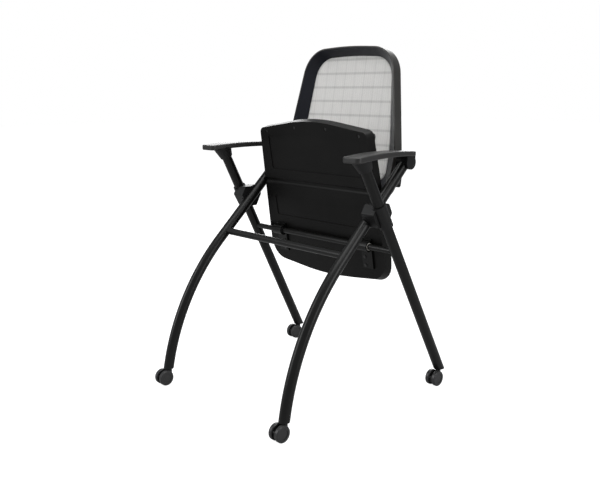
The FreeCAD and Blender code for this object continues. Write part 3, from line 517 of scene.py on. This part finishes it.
# %% [markdown]
# ## The mesh of the back
# The mesh is stretched flat in the hoop, with its edge in the groove at the rear. Its outline
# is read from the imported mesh's own rim. Rings of points run from that rim to the middle, each
# a smaller copy of the rim, so the sheet has even quads and no slivers.

# %% Back mesh
BACK_LEAN = math.radians(9.5)
RINGS, SHEET_THICK = 26, 0.0009
node_points = points_of(nodes["back_mesh"].data) @ np.array(nodes["back_mesh"].matrix_world.to_3x3()).T
lean = np.array(Matrix.Rotation(BACK_LEAN, 3, "X"))
upright = node_points @ lean.T
plane_y = upright[:, 1].mean()
front_rim = upright[upright[:, 1] < plane_y]
middle_xz = (front_rim[:, [0, 2]].max(0) + front_rim[:, [0, 2]].min(0)) / 2


def rim_outline(points, middle, count):
    """The rim as equally turned rays from the middle: the distance on each ray is read off
    between the two rim points on either side of it."""
    offset = points[:, [0, 2]] - middle
    angle = np.arctan2(offset[:, 1], offset[:, 0])
    reach = np.linalg.norm(offset, axis=1)
    order = np.argsort(angle)
    angle, reach = angle[order], reach[order]
    angle, first = np.unique(np.round(angle, 6), return_index=True)
    reach = np.maximum.reduceat(reach, first)
    rays = np.linspace(-np.pi, np.pi, count, endpoint=False)
    found = np.interp(rays, angle, reach, period=2 * np.pi)
    return middle + found[:, None] * np.stack([np.cos(rays), np.sin(rays)], -1)


def ringed_sheet(outline, middle, rings):
    """Points and faces of a disc: ring k is the outline scaled by k over rings, round the middle."""
    count = len(outline)
    shares = np.arange(1, rings + 1) / rings
    points = middle + shares[:, None, None] * (outline - middle)
    points = np.concatenate([[middle], points.reshape(-1, 2)])
    faces = [(0, 1 + i, 1 + (i + 1) % count) for i in range(count)]
    for ring in range(rings - 1):
        inner, outer = 1 + ring * count, 1 + (ring + 1) * count
        faces += [(inner + i, outer + i, outer + (i + 1) % count, inner + (i + 1) % count)
                  for i in range(count)]
    return points, faces


outline = rim_outline(front_rim, middle_xz, 180)
sheet_points, sheet_faces = ringed_sheet(outline, middle_xz, RINGS)
standing = np.stack([sheet_points[:, 0], np.full(len(sheet_points), plane_y), sheet_points[:, 1]], -1)
back_sheet_mesh = bpy.data.meshes.new("mesh_sheet")
back_sheet_mesh.from_pydata((standing @ lean).tolist(), [], sheet_faces)
woven_map = back_sheet_mesh.uv_layers.new(name="UVMap")
corner_points = np.empty(len(back_sheet_mesh.loops), dtype=np.int32)
back_sheet_mesh.loops.foreach_get("vertex_index", corner_points)
woven_map.uv.foreach_set("vector", (sheet_points - middle_xz)[corner_points].astype(np.float32).ravel())
back_sheet = bpy.data.objects.new("mesh_sheet", back_sheet_mesh)
scene.collection.objects.link(back_sheet)
thick = back_sheet.modifiers.new("thick", "SOLIDIFY")
thick.thickness, thick.offset = SHEET_THICK, 0

# %% [markdown]
# The weave is read from the sheet's own map, whose unit is the metre. Large squares, about
# 38 mm wide, are sewn into it, and each has upright ribs. A fine grid of threads covers
# everything, with small holes between the threads that let the light through.

# %% Mesh weave
SQUARE_WIDE, SQUARE_TALL, RIB, HOLE = 0.036, 0.0385, 0.0078, 0.0021
weave = bpy.data.materials.new("mesh_cloth")
tree, out = shader_tree(weave)
node, link = tree.nodes.new, tree.links.new
uv = node("ShaderNodeUVMap")
uv.uv_map = "UVMap"
spread = node("ShaderNodeSeparateXYZ")
link(uv.outputs[0], spread.inputs[0])
u, v = spread.outputs["X"], spread.outputs["Y"]


def dark_line(tree, value, period, width, phase=0.0):
    """One on a line that repeats with the period and nought between the lines, softly."""
    wave = wave_of(tree, value, period, phase)
    ramp = tree.nodes.new("ShaderNodeMapRange")
    ramp.interpolation_type = "SMOOTHSTEP"
    ramp.inputs["From Min"].default_value = math.cos(math.pi * width / period)
    ramp.inputs["From Max"].default_value = 1
    tree.links.new(wave, ramp.inputs["Value"])
    return ramp.outputs["Result"]


rows = dark_line(tree, v, SQUARE_TALL, 0.009, 0.9)
columns = dark_line(tree, u, SQUARE_WIDE, 0.006)
ribs = wave_of(tree, u, RIB)
cloudy = node("ShaderNodeTexNoise")
cloudy.inputs["Scale"].default_value = 40
cloudy.inputs["Detail"].default_value = 5
link(uv.outputs[0], cloudy.inputs["Vector"])
shade = combine(tree, "MULTIPLY_ADD", rows, -0.16)
shade.node.inputs[2].default_value = 0.93
shade = combine(tree, "SUBTRACT", shade, combine(tree, "MULTIPLY", columns, 0.06))
shade = combine(tree, "ADD", shade, combine(tree, "MULTIPLY", ribs, 0.02))
shade = combine(tree, "ADD", shade, combine(tree, "MULTIPLY", cloudy.outputs["Fac"], 0.08))
tone = node("ShaderNodeMix")
tone.data_type, tone.blend_type = "RGBA", "MULTIPLY"
tone.inputs["Factor"].default_value = 1
tone.inputs["A"].default_value = (0.9, 0.895, 0.88, 1)
link(shade, tone.inputs["B"])
threads = node("ShaderNodeBsdfPrincipled")
threads.inputs["Roughness"].default_value = 0.8
threads.inputs["Specular IOR Level"].default_value = 0.2
link(tone.outputs["Result"], threads.inputs["Base Color"])
fine = combine(tree, "MULTIPLY", wave_of(tree, u, HOLE), wave_of(tree, v, HOLE))
relief = combine(tree, "ADD", fine, combine(tree, "MULTIPLY", ribs, 2.0))
bump = node("ShaderNodeBump")
bump.inputs["Distance"].default_value = 0.0003
link(relief, bump.inputs["Height"])
link(bump.outputs["Normal"], threads.inputs["Normal"])
clear = node("ShaderNodeBsdfTransparent")
holes = node("ShaderNodeMath")
holes.operation = "GREATER_THAN"
holes.inputs[1].default_value = 0.62
link(fine, holes.inputs[0])
through = node("ShaderNodeBsdfTranslucent")
link(tone.outputs["Result"], through.inputs["Color"])
lit_both_ways = node("ShaderNodeMixShader")
lit_both_ways.inputs[0].default_value = 0.45
link(threads.outputs[0], lit_both_ways.inputs[1])
link(through.outputs[0], lit_both_ways.inputs[2])
open_weave = node("ShaderNodeMixShader")
link(holes.outputs[0], open_weave.inputs[0])
link(lit_both_ways.outputs[0], open_weave.inputs[1])
link(clear.outputs[0], open_weave.inputs[2])
link(open_weave.outputs[0], out.inputs["Surface"])
back_sheet.data.materials.append(weave)
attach(back_sheet, "frame")
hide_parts("back_mesh")
dress(finish("mesh_plain", (0.62, 0.61, 0.58), 0.8, 900, 0.0001), "back_mesh")
